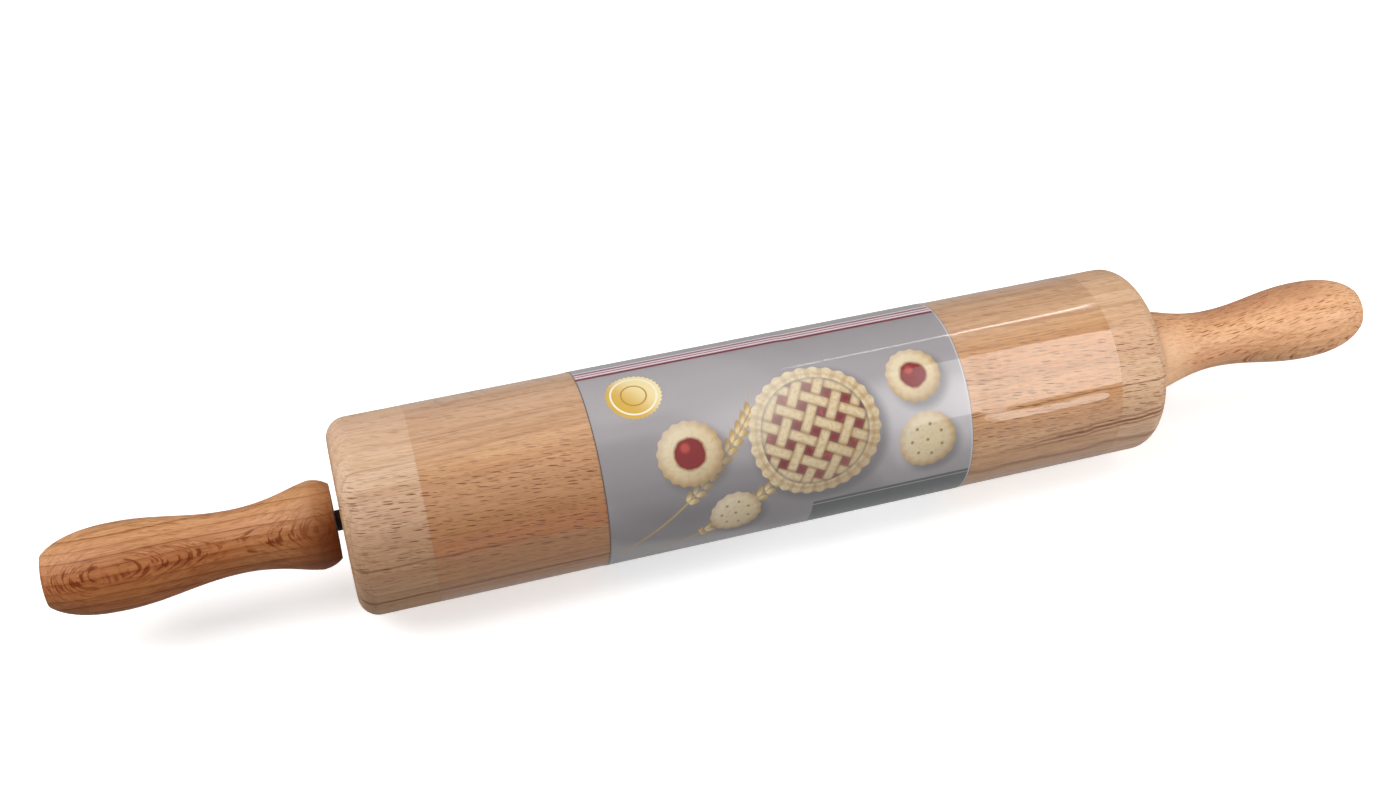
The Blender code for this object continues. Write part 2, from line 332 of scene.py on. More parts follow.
def film():
    """Clear film: close round the wood, raised over the paper, and thin all over.

    Its stretches are bare wood, the climb, the paper, the way down and bare wood again.
    """
    left, right = ends("clear_film")
    first, last = ends("label_sleeve")
    wood = rings("roller")[1].max()
    low = wood + FILM_GAP + FILM / 2
    raised = wood + PAPER_GAP + PAPER + FILM
    corners = (left, first - FILM_STEP, first, last, last + FILM_STEP, right)
    stretches = [
        np.linspace(start, end, count)[1:]
        for start, end, count in zip(corners, corners[1:], FILM_STATIONS)
    ]
    stations = np.concatenate([[left], *stretches])
    radius = low + (raised - low) * over_paper(stations)
    outer = np.column_stack([stations, radius + FILM / 2])
    inner = np.column_stack([stations, radius - FILM / 2])[::-1]
    return turned("film", np.vstack([outer, inner]), True, FILM_TURNS, film_swell)


def paper_sleeve():
    """Paper strip wound once round the roller, its end glued over its start.

    The strip climbs by its own thickness, with a small space, as it nears the overlap.
    """
    left, right = ends("label_sleeve")
    base = rings("roller")[1].max() + PAPER_GAP
    start = OVERLAP_FROM - 2 * np.pi - OVERLAP_TURN
    a = np.linspace(start, OVERLAP_FROM, PAPER_TURNS)[:, None]
    climb = np.clip(1 - (OVERLAP_FROM - a - OVERLAP_TURN) / OVERLAP_TURN, 0, 1)
    lift = (PAPER + FILM) * climb**2 * (3 - 2 * climb)
    stations = np.linspace(right, left, PAPER_STATIONS)
    x = np.concatenate([stations, stations[::-1]])[None, :]
    wall = np.repeat([PAPER, 0.0], len(stations))[None, :]
    return skin("paper_sleeve", round_axis(x, base + lift + wall, a), False)


def tube(name, node, chamfer):
    """Plain ring or rod with the frame node's ends and radii, its outer edges broken."""
    x, r = rings(node)
    left, right, top = x.min(), x.max(), r.max()
    low = top - chamfer
    outline = [(left, low), (left + chamfer, top), (right - chamfer, top), (right, low)]
    hollow = node != "axle_rod"
    if hollow:
        outline += [(right, r.min()), (left, r.min())]
    return turned(name, outline, hollow, SMALL_TURNS)


def race(side, which):
    """Bearing ring: a ball groove in one face, broken edges on the other.

    Radii are measured from the back, towards the balls, so one outline serves both
    rings. The groove is an arc about the balls' middle, from shoulder to shoulder.
    """
    x, r = rings(f"bearing_{which}_race_{side}")
    left, right = x.min(), x.max()
    ball_x, _ = rings(f"ball_{side}_1")
    room = (ball_x.max() - ball_x.min()) / 2 * GROOVE_ROOM
    back, away = (r.min(), 1) if which == "inner" else (r.max(), -1)
    height = (r - back) * away
    middle = height[height > RACE_CHAMFER].min() + room
    turn = math.asin((middle - height.max()) / room)
    start, end = math.pi + turn, 2 * math.pi - turn
    outline = np.array(
        [
            (left, RACE_CHAMFER),
            (left, height.max()),
            *arc((left + right) / 2, middle, room, start, end, GROOVE_STEPS),
            (right, height.max()),
            (right, RACE_CHAMFER),
            (right - RACE_CHAMFER, 0),
            (left + RACE_CHAMFER, 0),
        ]
    )[::away]
    outline[:, 1] = back + away * outline[:, 1]
    return turned(f"{which}_race_{side}", outline, True, SMALL_TURNS)


def bearing_ball(node):
    """Steel ball: latitude rings from one end of its X diameter to the other."""
    low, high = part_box(node)
    centre = (low + high) / 2
    radius = max(high - low) / 2
    down = np.linspace(np.pi - BALL_POLE, BALL_POLE, BALL_RINGS)[:, None]
    a = np.linspace(0, 2 * np.pi, BALL_TURNS, endpoint=False)[None, :]
    x = centre.x + radius * np.cos(down) + 0 * a
    y = centre.y - radius * np.sin(down) * np.sin(a)
    z = centre.z + radius * np.sin(down) * np.cos(a)
    return skin(f"bearing_{node}", np.stack([x, y, z], -1), False)


# Shader maths


def arithmetic(operation):
    """Two methods: the operation on a field and a value, and on a value and a field."""
    settings = {"operation": operation}
    return (
        lambda field, value: field.node("ShaderNodeMath", settings, {0: field, 1: value}),
        lambda field, value: field.node("ShaderNodeMath", settings, {0: value, 1: field}),
    )


class Field:
    """A value that changes over a surface: one socket in a material's nodes.

    Arithmetic on fields adds Math nodes.
    """

    __add__, __radd__ = arithmetic("ADD")
    __sub__, __rsub__ = arithmetic("SUBTRACT")
    __mul__, __rmul__ = arithmetic("MULTIPLY")
    __truediv__, __rtruediv__ = arithmetic("DIVIDE")
    __pow__, __rpow__ = arithmetic("POWER")

    def __init__(self, tree, socket):
        self.tree = tree
        self.socket = socket

    def node(self, kind, settings=None, inputs=None, output=0):
        """A node of any kind: its settings, then the values or links of its sockets."""
        made = self.tree.nodes.new(kind)
        for key, value in (settings or {}).items():
            setattr(made, key, value)
        for key, value in (inputs or {}).items():
            target = socket_of(made.inputs, key)
            if isinstance(value, Field):
                self.tree.links.new(value.socket, target)
            else:
                target.default_value = value
        return Field(self.tree, socket_of(made.outputs, output))

    def sibling(self, output):
        """Another output of the node that gives this value."""
        return Field(self.tree, socket_of(self.socket.node.outputs, output))

    def maths(self, operation, *others):
        """A Math node on this value and the others."""
        inputs = dict(enumerate((self, *others)))
        return self.node("ShaderNodeMath", {"operation": operation}, inputs)

    def size(self):
        """The value without its sign."""
        return self.maths("ABSOLUTE")

    def at_most(self, other):
        return self.maths("MINIMUM", other)

    def at_least(self, other):
        return self.maths("MAXIMUM", other)

    def rise(self, low, high):
        """Smooth step from 0 at low to 1 at high, or the other way round."""
        settings = {"interpolation_type": "SMOOTHSTEP"}
        inputs = {"Value": self, "From Min": low, "From Max": high}
        return self.node("ShaderNodeMapRange", settings, inputs)

    def inside(self, soft=0.12):
        """1 where a distance is below nought, with a soft edge."""
        return self.rise(soft, -soft)


def socket_of(sockets, key):
    """Socket with this identifier, or this name or place in the list."""
    found = [socket for socket in sockets if socket.identifier == key]
    return found[0] if found else sockets[key]


def material(name):
    """An empty material with one Principled shader: (material, its tree, the shader)."""
    made = bpy.data.materials.new(name)
    made.use_nodes = True
    tree = made.node_tree
    return made, tree, tree.nodes["Principled BSDF"]


def object_point(tree, turn=0.0):
    """Point in millimetres from the pin's middle, turned about its axis."""
    place = Field(tree, None).node("ShaderNodeTexCoord", output="Object")
    settings = {"operation": "SUBTRACT"}
    centred = place.node("ShaderNodeVectorMath", settings, {0: place, 1: (0, 0, AXIS)})
    settings = {"operation": "SCALE"}
    scaled = place.node("ShaderNodeVectorMath", settings, {0: centred, "Scale": MM})
    settings = {"rotation_type": "X_AXIS"}
    inputs = {"Vector": scaled, "Angle": turn}
    return place.node("ShaderNodeVectorRotate", settings, inputs)


def parts(vector):
    """X, Y and Z of a vector field."""
    x = vector.node("ShaderNodeSeparateXYZ", None, {0: vector})
    return [x.sibling(place) for place in range(3)]


def vector_of(x, y, z):
    """Vector field from three fields or numbers."""
    owner = next(part for part in (x, y, z) if isinstance(part, Field))
    return owner.node("ShaderNodeCombineXYZ", None, {"X": x, "Y": y, "Z": z})


def noise(x, y, z, detail=2.0, roughness=0.5):
    """Noise over a point, about 0.5."""
    vector = vector_of(x, y, z)
    inputs = {"Vector": vector, "Scale": 1.0, "Detail": detail, "Roughness": roughness}
    return vector.node("ShaderNodeTexNoise", {"noise_dimensions": "3D"}, inputs)


def mix(first, second, share, how="MIX"):
    """Two colours mixed, or blended in that way, by a share that is a field."""
    inputs = {
        "Factor_Float": share,
        "A_Color": first if isinstance(first, Field) else (*first, 1.0),
        "B_Color": second if isinstance(second, Field) else (*second, 1.0),
    }
    settings = {"data_type": "RGBA", "blend_type": how}
    return share.node("ShaderNodeMix", settings, inputs, output="Result_Color")


def connect(shader, **fields):
    """Links fields to the shader's sockets, an underscore standing for a space."""
    for name, field in fields.items():
        field.tree.links.new(field.socket, shader.inputs[name.replace("_", " ")])


def bump(height, strength, distance):
    """Normal of a surface raised by a height field times a distance in metres."""
    inputs = {"Strength": strength, "Distance": distance, "Height": height}
    return height.node("ShaderNodeBump", None, inputs, output="Normal")


# Beech: lengths in millimetres, colours in linear light

# Cells of the pattern of ray dashes, and half the length and width of a dash
LONG_DASH = ((5.2, 1.4), (1.65, 0.165))
SHORT_DASH = ((3.2, 0.95), (0.85, 0.118))
SHORT_DASH_SHIFT = 40.0

# What each colour is multiplied by, or mixed with
END_GRAIN = (0.80, 0.68, 0.56)
UNDER_FILM = (1.0, 0.77, 0.48)
AMBER_BAND = (1.0, 0.80, 0.60)
FAR_WARMTH = (1.0, 0.95, 0.86)
# Painted shade over the lower front of the roller's near end
NEAR_END_PAINTED_SHADE = (0.74, 0.63, 0.52)
STREAK_BROWN = (0.42, 0.27, 0.18)
# Painted shade on the near handle: towards the roller, and round its front
BEAD_PAINTED_SHADE_RED = (0.56, 0.28, 0.12)
NEAR_FRONT_PAINTED_SHADE = (0.71, 0.47, 0.31)
NEAR_FACE_PAINTED_SHADE = (0.42, 0.26, 0.18)
FAR_TOP = (0.80, 0.72, 0.69)
FAR_BLUSH = (0.92, 0.60, 0.36)

# Brown streaks on the roller: angle, how far it wanders, half its width and the width of
# its core, the stations between which it comes up, and how dark it is
STREAKS = (
    (105, 4, 1.7, 0.2, 20, -75, 0.85),
    (77.5, 3, 1.3, 0.2, -60, -95, 0.6),
    (104, 9, 3.4, 0.3, 30, 80, 0.55),
    (62, 2, 0.8, 0.1, 55, 66, 0.7),
)


def spindles(x, across, step, half, shift=0.0):
    """Short pointed dashes along X, spread evenly, with a strength of their own.

    Each cell, step long and wide, holds one ellipse, half giving its half sizes.
    """
    cell_x, cell_y = x / step[0] + shift, across / step[1]
    place = cell_x.node(
        "ShaderNodeTexVoronoi",
        {"voronoi_dimensions": "2D"},
        {"Vector": vector_of(cell_x, cell_y, 0.0), "Scale": 1.0, "Randomness": 0.95},
        output="Position",
    )
    chance = parts(place.sibling("Color"))[0]
    at_x, at_y, _ = parts(place)
    dx = (cell_x - at_x) * (step[0] / half[0])
    dy = (cell_y - at_y) * (step[1] / half[1])
    return (dx * dx + dy * dy).rise(1.4, 0.4) * (0.25 + chance.rise(0.1, 0.9) * 0.75)


def growth_rings(x, across, depth, gap):
    """Rings as wavy, slightly curved and tilted sheets one behind another.

    Gives the late wood, a tone of each ring's own, and its thin last line.
    """
    sway = noise(x / 130, across / 30, depth / 30, 1.0) - 0.5
    ripple = noise(x / 14, across / 3, depth / 3, 1.0) - 0.5
    curved = depth + across * across / 260 + x * 0.009
    rings_at = (curved + sway * 5 + ripple * 0.35) / gap
    place = rings_at.maths("FRACT")
    number = rings_at.maths("FLOOR")
    year = number.node(
        "ShaderNodeTexWhiteNoise", {"noise_dimensions": "1D"}, {"W": number}, "Value"
    )
    drop = place.rise(1.0, 0.975)
    late_wood = place.rise(0.45, 0.97) * drop
    line = place.rise(0.84, 0.94) * drop * (0.35 + year * 0.75)
    return late_wood, year, line


def ray_dashes(x, across, depth, lean):
    """Rays cut flat: short dark dashes that drift a little and crowd here and there."""
    drift = noise(x / 9, across / 4, depth / 4, 1.0) - 0.5
    leaning = across + x * lean + drift * 0.8
    crowd = noise(x / 30 + 3, across / 6, depth / 6, 1.0).rise(0.30, 0.60) * 0.3 + 0.7
    long_dash = spindles(x, leaning, *LONG_DASH)
    short_dash = spindles(x, leaning, *SHORT_DASH, SHORT_DASH_SHIFT)
    return (long_dash + short_dash * 0.6).at_most(1.0) * crowd


def ray_flecks(x, across, depth, slope):
    """Rays cut across: broad flecks, whole where the surface slopes, broken elsewhere."""
    sloping = slope.rise(0.02, 0.09)
    stroke = noise((x + depth * 0.2) / 1.2, across / 2.5, depth / 5, 1.0).rise(0.42, 0.60)
    bar = noise(x / 5.5, across / 0.2, depth / 3.5, 1.0)
    return bar.rise(0.50, 0.62) * (sloping + (1 - sloping) * stroke * 0.7)


def beech(name, tones, turn, ring, ray, marks):
    """Beech worked out through the wood: growth rings, rays, fibres and pores.

    Ring is the rings' gap, how dark their lines are and how much their tones differ.
    Rays are thin blades along X and the depth: short dashes where the surface lies flat
    to the rings, and broad flecks in arcs where it cuts across them. Ray is how far the
    dashes lean, how dark they are, how many lie away from the flat place, and how dark
    the flecks are. Wood that faces along X is cut across: browner, its pores open.
    Marks adds what the piece alone has, and painted shade on the roller and the near
    handle.
    """
    made, tree, shader = material(name)
    pale, honey, rose, stain = tones
    gap, line_dark, ring_tone = ring
    lean, dash_dark, scattered, fleck_dark = ray
    x, across, depth = parts(object_point(tree, turn))
    flat_on = (depth / (across * across + depth * depth) ** 0.5).size()
    slope = parts(x.node("ShaderNodeTexCoord", output="Normal"))[0].size()

    late_wood, year, line = growth_rings(x, across, depth, gap)
    cloud = noise(x / 140, across / 7, depth / 7, 3.0, 0.55)
    blush = noise(x / 90 + 5, across / 12, depth / 12)
    fibre = noise(x / 9, across / 0.3, depth / 0.3, 2.0, 0.6)
    thread = noise(x / 26, across / 0.8, depth / 0.8, 4.0, 0.65)
    tone = cloud + (year * 0.16 + late_wood * 0.22) * ring_tone + (thread - 0.5) * 1.7
    colour = mix(pale, honey, tone.rise(0.2, 1.0))
    colour = mix(colour, rose, blush.rise(0.42, 0.72) * 0.5)

    dark = ray_dashes(x, across, depth, lean) * dash_dark
    dark = dark * (flat_on.rise(0.78, 0.95) * (1 - scattered) + scattered)
    fleck = ray_flecks(x, across, depth, slope) * flat_on.rise(0.48, 0.15) * fleck_dark
    colour = mix(colour, stain, (dark + fleck).at_most(1.0), "MULTIPLY")
    fine_line = line * (line_dark - flat_on.rise(0.75, 1.0) * (line_dark * 0.6))
    lines = fine_line + late_wood * ring_tone * 0.10 + (fibre - 0.48).at_least(0) * 1.6
    colour = mix(colour, stain, lines.at_most(1.0), "MULTIPLY")

    cut_across = slope.rise(0.86, 0.98)
    pores = noise(x, across / 0.3, depth / 0.3, 1.0).rise(0.52, 0.68)
    colour = mix(colour, END_GRAIN, cut_across, "MULTIPLY")
    colour = mix(colour, stain, cut_across * pores * 0.4, "MULTIPLY")
    connect(
        shader,
        Base_Color=marks(colour, object_point(tree)),
        Roughness=0.52 + (fibre - 0.5) * 0.25 + dark * 0.12 - fleck * 0.1,
        Normal=bump(fibre * 0.5 - dark * 0.6 - line * 0.2 + thread * 0.3, 0.35, 0.00012),
    )
    shader.inputs["IOR"].default_value = 1.46
    shader.inputs["Specular IOR Level"].default_value = 0.3
    return made


def turn_of(point):
    """Station and angle about the axis, in degrees from the top towards the front."""
    x, y, z = parts(point)
    return x, (y * -1).maths("ARCTAN2", z) * math.degrees(1)


def from_axis(point):
    """Distance from the axis."""
    _, y, z = parts(point)
    return (y * y + z * z) ** 0.5


def roller_marks(colour, point):
    """What sets the roller apart: wood deepened under the film, brown streaks, and
    painted shade on its lower front that fades out towards the right.

    Right of the film's middle, threads of a cosine lie side by side in a bundle.
    """
    film_left, film_right = (place * MM for place in ends("clear_film"))
    radius = rings("roller")[1].max() * MM
    x, angle = turn_of(point)
    wander = noise(x / 14, angle / 40, 0.0) - 0.5
    under = (x - film_left).rise(-0.2, 0.2) * (film_right - x).rise(-0.2, 0.2)
    deepened = 0.25 + angle.rise(3, 32) * 0.46 + angle.rise(45, 65) * 0.21
    deepened = deepened * (1 - x.rise(30, 80) * angle.rise(58, 80) * 0.4)
    colour = mix(colour, UNDER_FILM, under * deepened, "MULTIPLY")
    amber = under * angle.rise(62, 72) * angle.rise(82, 76) * x.rise(20, -40)
    colour = mix(colour, AMBER_BAND, amber, "MULTIPLY")
    warm = x.rise(40, 110) * angle.rise(100, 70) * 0.8
    colour = mix(colour, FAR_WARMTH, warm, "MULTIPLY")
    outside = from_axis(point).rise(radius - 7, radius - 2)
    # Painted shade: the lower front darkened, fading out towards the right
    painted_shade_low = angle.rise(25, 75) * angle.rise(180, 140) * x.rise(70, -30) * outside
    colour = mix(colour, NEAR_END_PAINTED_SHADE, painted_shade_low * 0.85, "MULTIPLY")

    bundle = angle - 87 - wander * 5 + (x - 100) * 0.07
    threads = (bundle * (2 * math.pi / 3.4)).maths("COSINE").rise(-0.9, 0.3)
    streaks = threads * bundle.size().rise(5.0, 2.0) * x.rise(66, 98) * 0.95
    for at, sway, half, core, start, full, dark in STREAKS:
        streak = (angle - at - wander * sway).size().rise(half, core)
        streaks = streaks + streak * x.rise(start, full) * dark
    return mix(colour, STREAK_BROWN, streaks.at_most(1.0) * outside, "MULTIPLY")


def near_handle_marks(colour, point):
    """Painted shade: the near handle reddens towards its front, and darkens towards the
    roller.
    """
    x, angle = turn_of(point)
    from_face = ends("handle_left")[1] * MM - x
    near = from_face.rise(17, 0)
    # Painted shade, redder and darker, towards the roller
    colour = mix(colour, BEAD_PAINTED_SHADE_RED, near.at_most(0.45))
    waist = from_face.rise(8, 16) * from_face.rise(33, 24)
    outside = from_axis(point).rise(5, 9)
    # Painted shade round the handle's lower front, and darker still by the roller
    front = angle.rise(4, 62) * angle.rise(180, 140) * (1 - waist * 0.15) * outside
    colour = mix(colour, NEAR_FRONT_PAINTED_SHADE, front, "MULTIPLY")
    return mix(colour, NEAR_FACE_PAINTED_SHADE, near * (0.2 + front * 0.5), "MULTIPLY")


def far_handle_marks(colour, point):
    """The far handle is paler at the roller, and redder along the top of its waist."""
    x, angle = turn_of(point)
    from_face = x - ends("handle_right")[0] * MM
    top = angle.rise(34, -4) * angle.rise(-150, -110)
    waist = from_face.rise(14, 28) * from_face.rise(76, 60)
    colour = mix(colour, FAR_TOP, top * waist, "MULTIPLY")
    return mix(colour, FAR_BLUSH, from_face.rise(22, 3) * angle.rise(5, 35) * 0.65)


def wood_materials():
    """The three woods: the roller, the reddish near handle and the pale far handle."""
    return {
        "roller": beech(
            "beech_roller",
            tones=((0.72, 0.50, 0.345), (0.60, 0.375, 0.225),
                   (0.68, 0.44, 0.32), (0.36, 0.22, 0.125)),
            turn=math.radians(-57),
            ring=(3.4, 0.10, 0.6),
            ray=(0.12, 1.0, 0.30, 0.12),
            marks=roller_marks,
        ),
        "left": beech(
            "beech_handle_near",
            tones=((0.69, 0.385, 0.182), (0.48, 0.215, 0.086),
                   (0.62, 0.29, 0.14), (0.46, 0.25, 0.10)),
            turn=math.radians(40),
            ring=(2.7, 0.66, 1.0),
            ray=(0.0, 0.85, 0.55, 0.9),
            marks=near_handle_marks,
        ),
        "right": beech(
            "beech_handle_far",
            tones=((0.78, 0.455, 0.25), (0.62, 0.31, 0.14),
                   (0.72, 0.36, 0.205), (0.44, 0.23, 0.13)),
            turn=math.radians(-20),
            ring=(3.1, 0.15, 0.25),
            ray=(-0.10, 1.0, 0.75, 0.2),
            marks=far_handle_marks,
        ),
    }


# Label: x along the pin from its middle, y round it from the top forwards, millimetres

SILVER = (0.40, 0.37, 0.38)
SILVER_LIGHT = (0.66, 0.63, 0.65)
SILVER_DARK = (0.28, 0.26, 0.27)
# Painted shade low on the label
LABEL_FOOT_PAINTED_SHADE = (0.70, 0.69, 0.69)
DARK_RED = (0.22, 0.002, 0.016)
DULL_RED = (0.34, 0.09, 0.16)
PINK_WHITE = (0.91, 0.78, 0.82)
PANEL_GREY = (0.105, 0.115, 0.115)
BACK_PALE = (0.68, 0.66, 0.67)
BACK_LINES = (0.42, 0.41, 0.42)
# Painted shadow at the paper's edges
PAPER_EDGE_PAINTED_SHADOW = (0.06, 0.045, 0.045)
PASTRY = (0.76, 0.63, 0.40)
PASTRY_LIGHT = (1.0, 0.95, 0.82)
PASTRY_SHADE = (0.34, 0.20, 0.09)
CRUST = (0.50, 0.29, 0.11)
BAKED = (0.30, 0.14, 0.04)
JAM = (0.26, 0.018, 0.020)
JAM_LIGHT = (0.62, 0.10, 0.07)
SHADE = (0.13, 0.12, 0.125)
STRAW = (0.56, 0.37, 0.14)
STRAW_LIGHT = (0.82, 0.66, 0.36)
GOLD = (0.72, 0.45, 0.07)
GOLD_LIGHT = (0.92, 0.78, 0.42)
GOLD_PALE = (0.95, 0.90, 0.75)
GOLD_BROWN = (0.48, 0.26, 0.03)

# Ears of corn: foot, turn and length. Biscuits: centre, radius, waves of the rim, jam.
# Tart and seal: centre and radius. Panels: centre, half size and corner radius
EARS = (((-56, 58), math.radians(-33), 62), ((-54, 66), math.radians(-20), 58))
BISCUITS = (
    ((-31, 26), 10.0, 18, True),
    ((42, 16), 8.6, 16, True),
    ((43, 37), 9.2, 16, False),
    ((-19, 49), 8.0, 15, False),
)
TART = ((8, 27), 20.5)
TART_WAVES = 30
STRIP_GAP = 6.2
STRIP_HALF = 1.55
STRIP_TURNS = (math.radians(28), math.radians(-62))
GRAIN_GAP = 3.1
SEAL = ((-43, 4), 8.4)
SEAL_BEAMS = 36
DARK_PANEL = ((33, 64), (27, 12), 0.4)
DARK_PANEL_RULE = 53.5
BACK_MIDDLE = (0, -58)
BACK_PANEL = (BACK_MIDDLE, (46, 13), 1.5)
BACK_WRITING = (BACK_MIDDLE, (42, 10.6), 0.5)
BACK_LINE_GAP = 3.1

# Double stripe: how far behind the top, its step near the middle, its edges and inks
STRIPES_AT = 12.7
STRIPE_KINK = 0.55
STRIPE_EDGES = (-1.4, -0.5, 0.8, 1.8, 2.45, 3.55, 4.9)
STRIPE_INKS = (PINK_WHITE, DARK_RED, PINK_WHITE, DULL_RED, PINK_WHITE, DARK_RED)


def disc(x, y, centre, radius):
    """Distance outside a disc, and the offsets from its centre."""
    dx, dy = x - centre[0], y - centre[1]
    away = (dx * dx + dy * dy) ** 0.5
    return away - radius, dx, dy


def panel(x, y, centre, half, corner):
    """Distance outside a box with rounded corners."""
    dx = (x - centre[0]).size() - (half[0] - corner)
    dy = (y - centre[1]).size() - (half[1] - corner)
    outside = (dx.at_least(0) ** 2 + dy.at_least(0) ** 2) ** 0.5
    return outside + dx.maths("MAXIMUM", dy).at_most(0) - corner


def fluted(x, y, centre, radius, waves, depth):
    """Distance outside a disc with a wavy rim, distance from its centre, and offsets."""
    away, dx, dy = disc(x, y, centre, radius)
    wave = (dy.maths("ARCTAN2", dx) * waves).maths("COSINE")
    return away + wave * (depth * radius), away + radius, dx, dy


def shadow(colour, x, y, centre, radius):
    """Soft shadow of a round thing, fallen towards the lower right."""
    fallen = (centre[0] + 1.5, centre[1] + 2.1)
    return mix(colour, SHADE, disc(x, y, fallen, radius)[0].rise(2.4, -1.8) * 0.62)


def domed(colour, x, y, centre, radius):
    """Light on the upper left of a round thing and shade on its lower right."""
    lean = ((x - centre[0]) * 0.55 + (y - centre[1]) * 0.83) / radius
    colour = mix(colour, PASTRY_LIGHT, lean.rise(0.1, -1.1) * 0.35)
    return mix(colour, PASTRY_SHADE, lean.rise(0.1, 1.2) * 0.45)


def biscuit(colour, x, y, centre, radius, waves, jam):
    """Round biscuit: fluted rim, browned edge, and a pool of jam or pricked holes."""
    colour = shadow(colour, x, y, centre, radius)
    rim, ring, dx, dy = fluted(x, y, centre, radius, waves, 0.024)
    crumb = noise(x / 1.1, y / 1.1, 0.0, 3.0, 0.65)
    body = mix(PASTRY, CRUST, rim.rise(-0.30 * radius, 0.2) * 0.8)
    body = mix(body, CRUST, crumb.rise(0.45, 0.8) * 0.45)
    body = domed(body, x, y, centre, radius)
    if jam:
        pool = ring - radius * 0.46 + (noise(x / 3, y / 3, 2.0) - 0.5) * 1.2
        body = mix(body, BAKED, (pool - 0.5).inside(0.4) * 0.7)
        body = mix(body, JAM, pool.inside(0.15))
        glint = disc(dx, dy, (-radius * 0.12, -radius * 0.2), radius * 0.13)[0]
        body = mix(body, JAM_LIGHT, glint.rise(0.8, -0.6) * 0.75)
    else:
        step = 2 * math.pi / 7
        turn = (dy.maths("ARCTAN2", dx) / step).maths("FRACT") * step - step / 2
        hole_x = ring * turn.maths("COSINE") - radius * 0.55
        hole_y = ring * turn.maths("SINE")
        away = ((hole_x * hole_x + hole_y * hole_y) ** 0.5).at_most(ring)
        body = mix(body, BAKED, (away - radius * 0.055).inside(0.25) * 0.85)
    return mix(colour, body, rim.inside(0.15))


def strips(x, y, turn):
    """Parallel strips: distance outside the nearest one, and its number."""
    across = (y * math.cos(turn) - x * math.sin(turn)) / STRIP_GAP
    off = (across.maths("FRACT") - 0.5).size() * STRIP_GAP
    return off - STRIP_HALF, across.maths("FLOOR")


def tart(colour, x, y, centre, radius):
    """Jam tart: a fluted crust round a woven lattice of pastry strips.

    Whether the numbers of crossing strips add up to an even number tells which of them
    is on top. The other is darker beside it.
    """
    colour = shadow(colour, x, y, centre, radius + 0.6)
    rim, ring, dx, dy = fluted(x, y, centre, radius, TART_WAVES, 0.016)
    crumb = noise(x / 1.3, y / 1.3, 4.0, 3.0, 0.65)
    gloss = noise(x / 2.6, y / 2.6, 7.0).rise(0.50, 0.72)
    filling = mix(JAM, JAM_LIGHT, gloss * 0.55)
    first, first_number = strips(dx, dy, STRIP_TURNS[0])
    second, second_number = strips(dx, dy, STRIP_TURNS[1])
    parity = ((first_number + second_number) / 2).maths("FRACT") * 2
    pastry = mix(PASTRY, CRUST, crumb.rise(0.40, 0.75) * 0.6)
    body = mix(filling, SHADE, first.at_most(second).rise(1.1, 0.0) * 0.6)
    for off, other, top in ((first, second, parity), (second, first, 1 - parity)):
        below = 1 - top
        strip = mix(pastry, CRUST, off.rise(-0.9, 0.0) * 0.75)
        strip = mix(strip, BAKED, other.rise(1.2, 0.0) * below * 0.7)
        shown = off.inside() * (1 - other.inside() * below)
        body = mix(body, strip, shown)
    crimp = (dy.maths("ARCTAN2", dx) * TART_WAVES).maths("COSINE")
    crust = mix(pastry, CRUST, crimp.rise(-0.2, 1.0) * 0.55)
    crust = mix(crust, BAKED, (ring - 0.90 * radius).size().rise(0.8, 0.1) * 0.25)
    inner = ring - 0.83 * radius
    body = mix(body, SHADE, inner.rise(-1.3, 0.0) * 0.6)
    body = mix(body, crust, inner.rise(-0.1, 0.15))
    body = domed(body, x, y, centre, radius)
    return mix(colour, body, rim.inside(0.15))


def wheat(colour, x, y, foot, turn, length):
    """Ear of corn: a bent stalk with paired grains, and bristles that lean from it."""
    dx, dy = x - foot[0], y - foot[1]
    along = dx * math.cos(turn) + dy * math.sin(turn)
    off = (dy * math.cos(turn) - dx * math.sin(turn) + along * along * 0.0026).size()
    step = (along / GRAIN_GAP).maths("FRACT") * GRAIN_GAP
    tip = (length - along).rise(-0.2, 0.2)
    bristle = ((off - 1.6 - step * 0.55).size() - 0.13).inside(0.1)
    bristle = bristle * (along - length * 0.5).rise(0, 2)
    colour = mix(colour, STRAW, bristle * (length + 4 - along).rise(-0.5, 1.0) * 0.6)
    stalk = (off - 0.34).inside() * along.rise(-0.2, 0.2) * tip
    colour = mix(colour, STRAW, stalk)
    local, side = step - GRAIN_GAP / 2, off - 1.25
    lean = math.radians(30)
    grain_x = (local * math.cos(lean) + side * math.sin(lean)) / 2.1
    grain_y = (side * math.cos(lean) - local * math.sin(lean)) / 0.92
    grain = (grain_x * grain_x + grain_y * grain_y) ** 0.5 - 1
    body = mix(STRAW, STRAW_LIGHT, (side + local * 0.4).rise(0.9, -0.9))
    body = mix(body, BAKED, grain.rise(-0.35, 0.0) * 0.5)
    within = (along - length * 0.45).rise(-0.2, 0.2) * tip
    return mix(colour, body, grain.inside() * within)


